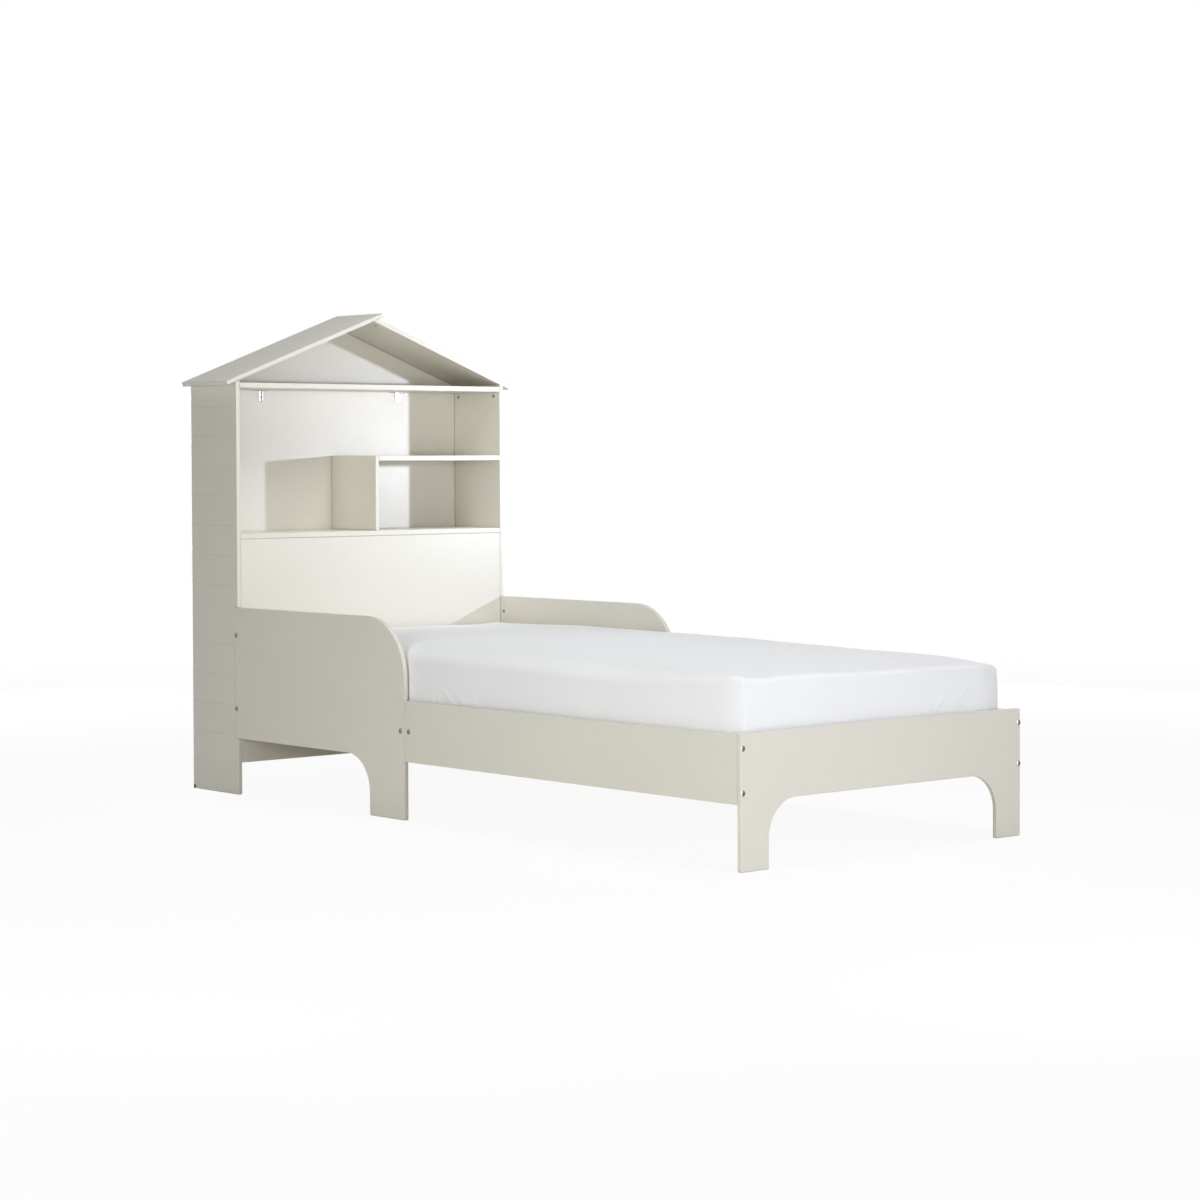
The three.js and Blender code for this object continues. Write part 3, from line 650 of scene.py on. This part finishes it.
def settle(grid):
    """The right corner of the foot droops and is drawn back a little."""
    x, y, share = grid[..., 0], grid[..., 1], np.clip(grid[..., 2] / THICK, 0, 1)
    dx, dy = (x - HALF_X) / FAR_DROOP_REACH[0], (y + HALF_Y) / FAR_DROOP_REACH[1]
    grid[..., 2] -= share ** 2 * FAR_DROOP * np.exp(-(dx ** 2) - dy ** 2)
    at_foot = smooth(-y, HALF_Y - FAR_BACK_ALONG, HALF_Y)
    at_right = smooth(x, HALF_X - FAR_BACK_ACROSS[0], HALF_X + FAR_BACK_ACROSS[1])
    grid[..., 1] += FAR_BACK * at_foot * at_right


def grid_mesh(name, grid, closed_bottom=False):
    """A mesh of four-sided faces between the grid's rings."""
    rings, count = grid.shape[:2]
    faces = []
    for r in range(rings - 1):
        for i in range(count):
            j = (i + 1) % count
            faces.append((r * count + i, (r + 1) * count + i, (r + 1) * count + j, r * count + j))
    if closed_bottom:
        faces.append(tuple(reversed(range((rings - 1) * count, rings * count))))
    mesh = bpy.data.meshes.new(name)
    mesh.from_pydata(grid[..., :3].reshape(-1, 3).tolist(), [], faces)
    mesh.update()
    return mesh


def fold(s, h, start, end, width, depth):
    """How far a fold from start to end lifts the cloth at s along the side and h up it."""
    ax, ay = start
    bx, by = end
    length2 = (bx - ax) ** 2 + (by - ay) ** 2
    t = np.clip(((s - ax) * (bx - ax) + (h - ay) * (by - ay)) / length2, 0, 1)
    away = np.hypot(s - ax - t * (bx - ax), h - ay - t * (by - ay))
    return depth * np.exp(-((away / width) ** 2)) * np.sin(np.pi * (0.12 + 0.76 * t))


# folds seen on the foot face: start and end as distance from its left end and height, then depth
FOOT_FOLDS = (
    ((0.610, 0.050), (0.652, 0.094), 0.0017),
    ((0.632, 0.046), (0.684, 0.104), 0.0022),
    ((0.660, 0.048), (0.700, 0.092), 0.0013),
    ((0.694, 0.050), (0.742, 0.104), 0.0020),
    ((0.712, 0.050), (0.776, 0.132), 0.0023),
    ((0.738, 0.062), (0.790, 0.122), 0.0015),
)
# short puckers above the left rail, by the guard
RAIL_FOLDS = (
    ((0.846, 0.072), (0.872, 0.044), 0.0020),
    ((0.876, 0.064), (0.900, 0.042), 0.0018),
    ((0.905, 0.086), (0.955, 0.044), 0.0027),
    ((0.962, 0.076), (1.005, 0.044), 0.0025),
    ((1.030, 0.062), (1.054, 0.042), 0.0019),
    ((1.352, 0.056), (1.372, 0.040), 0.0016),
)
SEEN_FOLDS = {"foot": FOOT_FOLDS, "left": RAIL_FOLDS}
# a seen fold's width, its height as a factor of its depth, and the hollow beside it
FOLD_WIDTH = 0.0044
FOLD_GAIN = 1.25
HOLLOW_BESIDE = 0.010
HOLLOW_WIDTH = 0.0042
HOLLOW_SHARE = 0.6
# the small folds: so many at each end of a side, and one for each stretch of its hem
SMALL_WIDTHS = (0.004, 0.007)
SMALL_DEPTHS = (0.0004, 0.0010)
FOLDS_AT_END = 8
HEM_STRETCH = 0.07


def small_fold(s, z, start, end, rng):
    return fold(s, z, start, end, rng.uniform(*SMALL_WIDTHS), rng.uniform(*SMALL_DEPTHS))


def edge_folds(name, s, z, length, rng):
    """The folds of one side: small ones near its ends and along its hem, and those that the photo shows."""
    extra = np.zeros(len(s))
    for at_far_end in (False, True):
        for _ in range(FOLDS_AT_END):
            near = rng.uniform(0.01, 0.16)
            foot = near + rng.uniform(-0.006, 0.012)
            top = near + rng.uniform(0.008, 0.04)
            low, high = rng.uniform(0.004, 0.03), rng.uniform(0.05, 0.085)
            if at_far_end:
                foot, top = length - foot, length - top
            extra += small_fold(s, z, (foot, low), (top, high), rng)
    for _ in range(int(length / HEM_STRETCH)):
        where = rng.uniform(0.05, length - 0.05)
        lean = rng.uniform(-0.025, 0.025)
        high = rng.uniform(0.025, 0.05)
        extra += small_fold(s, z, (where, 0), (where + lean, high), rng)
    for start, end, depth in SEEN_FOLDS.get(name, ()):
        extra += fold(s, z, start, end, FOLD_WIDTH, depth * FOLD_GAIN)
        beside = [(place + HOLLOW_BESIDE, height) for place, height in (start, end)]
        extra -= fold(s, z, *beside, HOLLOW_WIDTH, depth * HOLLOW_SHARE)
    return extra


# the slow waves' lengths and heights, and a corner seam's ridge with the puckers on both its sides
WRINKLE_SEED = 5
WAVES = ((0.46, 0.0012), (0.21, 0.0005))
WAVES_OF_EACH = 5
SIDE_FADE = 0.02
RIDGE_HIGH = 0.0005
RIDGE_WIDTH = 0.0045
PUCKER_HIGH = 0.0015
PUCKER_BESIDE = 0.013
PUCKER_WIDTH = 0.008
PUCKER_PITCH = 0.017
PUCKER_SHIFT = 1.1
FAR_AWAY = 9


def seams(x, y, z):
    """The seam in each corner: a thin ridge from the tip to the hem, and small puckers on both its sides."""
    away = np.where(np.abs(x) > HALF_X - 0.05, np.abs(y) - (HALF_Y - SEAM_BACK), FAR_AWAY)
    ridge = np.exp(-((away / RIDGE_WIDTH) ** 2))
    beside = np.exp(-(((np.abs(away) - PUCKER_BESIDE) / PUCKER_WIDTH) ** 2))
    pucker = 0.5 + 0.5 * np.sin(z * 2 * math.pi / PUCKER_PITCH + np.sign(away) * PUCKER_SHIFT)
    near_tip = 0.25 + 0.75 * smooth(z, 0.10, 0.155) + 0.35 * (1 - smooth(z, 0.0, 0.05))
    return RIDGE_HIGH * ridge + PUCKER_HIGH * beside * (pucker - 0.45) * near_tip


def wrinkles(grid):
    """How far the cloth lifts along its normal: slow waves, each side's folds and the corner seams."""
    x, y, z, nx, ny = (grid[..., i].ravel() for i in range(5))
    rng = np.random.default_rng(WRINKLE_SEED)
    lift = np.zeros(len(x))
    side = np.clip((THICK * rise(y) - z) / SIDE_FADE, 0, 1)
    for length, height in WAVES:
        for _ in range(WAVES_OF_EACH):
            a, phase = rng.uniform(0, 2 * math.pi, 2)
            across = x * math.cos(a) + y * math.sin(a) + 0.4 * z
            lift += height / 3 * np.sin(2 * math.pi * across / length + phase)
    faces = {
        "foot": (ny < -0.8, x + HALF_X, 2 * HALF_X),
        "left": (nx < -0.8, HALF_Y - y, 2 * HALF_Y),
        "head": (ny > 0.8, HALF_X - x, 2 * HALF_X),
        "right": (nx > 0.8, y + HALF_Y, 2 * HALF_Y),
    }
    for name, (mask, s, length) in faces.items():
        extra = edge_folds(name, s, z, length, rng)
        lift += np.where(mask & (z > 0.0005), extra, 0) * side
    return lift + side * seams(x, y, z)


# a corner's side and end, how far the cloth rises broadly round it, and how far at its tip
CORNER_TIPS = (
    (-1, -1, 0.0075, 0.0045),
    (1, -1, 0.0, 0.001),
    (-1, 1, 0.002, 0.002),
    (1, 1, 0.0, 0.002),
)


def corner_tips(grid):
    """The cloth is drawn up to a small point at each corner seam, and most at the near corner of the foot."""
    x, y, z = grid[..., 0], grid[..., 1], grid[..., 2]
    share = np.clip(z / THICK, 0, 1) ** 3
    raised = np.zeros(x.shape)
    for sx, sy, broad, tip in CORNER_TIPS:
        dx = x - sx * (HALF_X - 0.007)
        dy = y - sy * (HALF_Y - SEAM_BACK)
        raised += broad * np.exp(-((dx / 0.34) ** 2) - (dy / 0.16) ** 2)
        raised += tip * np.exp(-((dx / 0.030) ** 2) - (dy / 0.035) ** 2)
        raised -= tip * 0.7 * np.exp(-(((np.abs(dx) - 0.075) / 0.03) ** 2) - (dy / 0.07) ** 2)
    grid[..., 2] += raised * share


RUFFLE_PITCHES = (0.031, 0.0173)
RUFFLE_PHASE = 1.3
RUFFLE_LIFT = 0.0013
RUFFLE_HIGH = 0.0009
RUFFLE_SIDEWAYS = 0.0025


def ruffles(grid, outline):
    """Elastic gathers the hem: the cloth under the mattress ripples more and more towards its edge."""
    x, y, z = grid[..., 0], grid[..., 1], grid[..., 2]
    base = outline.place(np.zeros(outline.count))
    inward = np.abs(base[0] - x) * np.abs(base[2]) + np.abs(base[1] - y) * np.abs(base[3])
    grown = smooth(inward, 0.018, BULGE + BOTTOM_ROUND + TUCK) * (z < 0.0004)
    way = np.concatenate([[0], np.cumsum(np.hypot(np.diff(base[0]), np.diff(base[1])))])
    broad, narrow = (way * 2 * math.pi / pitch for pitch in RUFFLE_PITCHES)
    wave = np.sin(broad) + 0.5 * np.sin(narrow + RUFFLE_PHASE)
    grid[..., 2] += grown * (RUFFLE_LIFT + RUFFLE_HIGH * wave)
    grid[..., 0] += grown * RUFFLE_SIDEWAYS * wave * base[2]
    grid[..., 1] += grown * RUFFLE_SIDEWAYS * wave * base[3]


WELD_REACH = 0.0004


def new_piece(name, mesh, material, ring):
    """Welds the mesh's first ring of points, which lies on a line, and lets the piece ride the mattress."""
    work = bmesh.new()
    work.from_mesh(mesh)
    work.verts.ensure_lookup_table()
    bmesh.ops.remove_doubles(work, verts=work.verts[:ring], dist=WELD_REACH)
    work.to_mesh(mesh)
    work.free()
    mesh.polygons.foreach_set("use_smooth", [True] * len(mesh.polygons))
    piece = bpy.data.objects.new(name, mesh)
    bpy.context.scene.collection.objects.link(piece)
    give(piece, materials[material])
    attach(piece, "mattress")
    return piece


def build_sheet():
    """The fitted sheet, with its folds laid on along the mesh's own normals."""
    outline = Outline(corner_steps=30, fine=0.0055, coarse=0.02, near=0.30, coarse_side=0.0062)
    grid = cover(outline, TUCK, top_steps=28, down_steps=24, gap=0.0)
    corner_tips(grid)
    ruffles(grid, outline)
    mesh = grid_mesh("fitted_sheet", grid)
    at = grid[..., :3].reshape(-1, 3)
    normal = np.empty(len(at) * 3)
    mesh.vertex_normals.foreach_get("vector", normal)
    at = at + normal.reshape(-1, 3) * wrinkles(grid)[:, None] + np.array(MIDDLE)
    mesh.vertices.foreach_set("co", at.ravel())
    mesh.update()
    return new_piece("fitted_sheet", mesh, "fitted_sheet", outline.count)


PAD_GAP = 0.0042
PAD_HOLE = 0.035
PAD_SUNK = 0.0004
QUILT_PITCH = 0.075
QUILT_HIGH = 0.0012


def build_pad():
    """The foam mattress inside the sheet, which shows only from below, with a quilted underside."""
    outline = Outline(corner_steps=6, fine=0.03, coarse=0.07, near=0.12, coarse_side=0.07)
    grid = cover(outline, HALF_X - PAD_HOLE, top_steps=10, down_steps=8, gap=PAD_GAP)
    x, y, z = grid[..., 0], grid[..., 1], grid[..., 2]
    cells = np.sin(x * math.pi / QUILT_PITCH) * np.sin(y * math.pi / QUILT_PITCH)
    quilt = QUILT_HIGH * np.abs(cells) ** 0.5
    underside = PAD_GAP - PAD_SUNK
    grid[..., 2] = np.where(z < 1e-6, underside + quilt, np.maximum(z - PAD_GAP, underside))
    mesh = grid_mesh("mattress_pad", grid, closed_bottom=True)
    mesh.transform(Matrix.Translation(MIDDLE))
    return new_piece("mattress_pad", mesh, "ticking", outline.count)


sheet = build_sheet()
mattress_pad = build_pad()
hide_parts("mattress")


# Stage and light

FLOOR_HALF = 14
FLOOR_GREY = 0.86
# the floor's own white, which hides most of its shade: near the bed and far from it, and where it fades
FLOOR_WHITE = (0.93, 1.0)
FLOOR_FADE = (2.2, 6.0)


def make_stage():
    """A floor that a camera sees almost white, and that still takes and throws back light."""
    mesh = bpy.data.meshes.new("floor")
    corners = [(x * FLOOR_HALF, y * FLOOR_HALF, 0) for x, y in ((-1, -1), (1, -1), (1, 1), (-1, 1))]
    mesh.from_pydata(corners, [], [(0, 1, 2, 3)])
    floor = bpy.data.objects.new("floor", mesh)
    bpy.context.scene.collection.objects.link(floor)
    s = Shader("floor", (FLOOR_GREY,) * 3, 0.9, specular=0.0)
    path = s.node("ShaderNodeLightPath")
    seen = s.math("MAXIMUM", path.outputs["Is Camera Ray"], path.outputs["Is Glossy Ray"])
    seen = s.math("MAXIMUM", seen, path.outputs["Is Transmission Ray"])
    white = s.node("ShaderNodeEmission", {"Color": (1, 1, 1, 1), "Strength": 1.0}).outputs[0]
    near = s.node("ShaderNodeVectorMath", {0: s.place}, operation="LENGTH").outputs["Value"]
    share = s.math("MULTIPLY", seen, s.remap(near, *FLOOR_FADE, *FLOOR_WHITE))
    both = s.node("ShaderNodeMixShader", {0: share, 1: s.bsdf.outputs[0], 2: white})
    s.tree.links.new(both.outputs[0], s.tree.nodes["Material Output"].inputs["Surface"])
    give(floor, s.material)


def make_world():
    """White where a ray from the camera, a mirror or glass sees it, and no light from it otherwise."""
    world = bpy.data.worlds.new("world")
    world.use_nodes = True
    nodes, links = world.node_tree.nodes, world.node_tree.links
    dark = nodes["Background"]
    dark.inputs["Strength"].default_value = 0.0
    white = nodes.new("ShaderNodeBackground")
    white.inputs["Color"].default_value = (1, 1, 1, 1)
    white.inputs["Strength"].default_value = 1.0
    path = nodes.new("ShaderNodeLightPath")
    seen = path.outputs["Is Camera Ray"]
    for name in ("Is Glossy Ray", "Is Transmission Ray"):
        most = nodes.new("ShaderNodeMath")
        most.operation = "MAXIMUM"
        links.new(seen, most.inputs[0])
        links.new(path.outputs[name], most.inputs[1])
        seen = most.outputs[0]
    mix = nodes.new("ShaderNodeMixShader")
    links.new(seen, mix.inputs[0])
    links.new(dark.outputs[0], mix.inputs[1])
    links.new(white.outputs[0], mix.inputs[2])
    links.new(mix.outputs[0], nodes["World Output"].inputs["Surface"])
    bpy.context.scene.world = world


WHITE = (1, 1, 1)
HALF_ROOM = 180


def lamp(name, place, target, size, power, color=WHITE, spread=HALF_ROOM):
    """A round lamp that the camera doesn't see, aimed at its target."""
    light = bpy.data.lights.new(name, "AREA")
    light.shape = "DISK"
    light.size = size
    light.spread = math.radians(spread)
    light.energy = power
    light.color = color
    lamp_object = bpy.data.objects.new(name, light)
    aim = Vector(target) - Vector(place)
    lamp_object.matrix_world = (
        Matrix.Translation(place) @ aim.to_track_quat("-Z", "Y").to_matrix().to_4x4()
    )
    lamp_object.visible_camera = False
    bpy.context.scene.collection.objects.link(lamp_object)


make_stage()
make_world()
# the key lamp, a narrow beam, throws the shadows inside the house
lamp("key", (1.79, -0.743, 1.06), (0.243, 1.1, 0.935), 0.09, power=1.95, color=(0.77, 0.82, 1), spread=40)
lamp("front", (0.1, -4.6, 1.0), (0, -1, 0.3), 1.4, power=43.5)
lamp("front_near", (-1.0, -3.0, 0.8), (-0.2, -1.1, 0.35), 1.0, power=13.4, color=(0.85, 0.88, 1))
lamp("left", (-4.2, -0.8, 1.2), (0, 0, 0.5), 1.5, power=51, color=(0.97, 0.99, 1))
lamp("left_front", (-4.2, -2.4, 1.0), (0, -1, 0.4), 1.6, power=10, color=(1, 0.9, 0.4))
lamp("left_near", (-2.6, -2.0, 0.9), (-0.4, -0.8, 0.35), 1.0, power=8)
lamp("above", (0, -0.9, 3.4), (0, -0.8, 0.3), 2.0, power=55.5)
lamp("above_head", (0.1, 0.2, 2.0), (0.1, 0.3, 0.45), 0.8, power=1.3, color=(0.85, 0.95, 1), spread=110)
# these two serve the sides that the photograph doesn't show
lamp("behind", (0.3, 4.6, 0.9), (0, 1.1, 0.65), 1.6, power=75)
lamp("right", (4.2, 1.3, 0.6), (0, 0.1, 0.5), 1.5, power=48)

bpy.context.scene.view_settings.view_transform = "Standard"
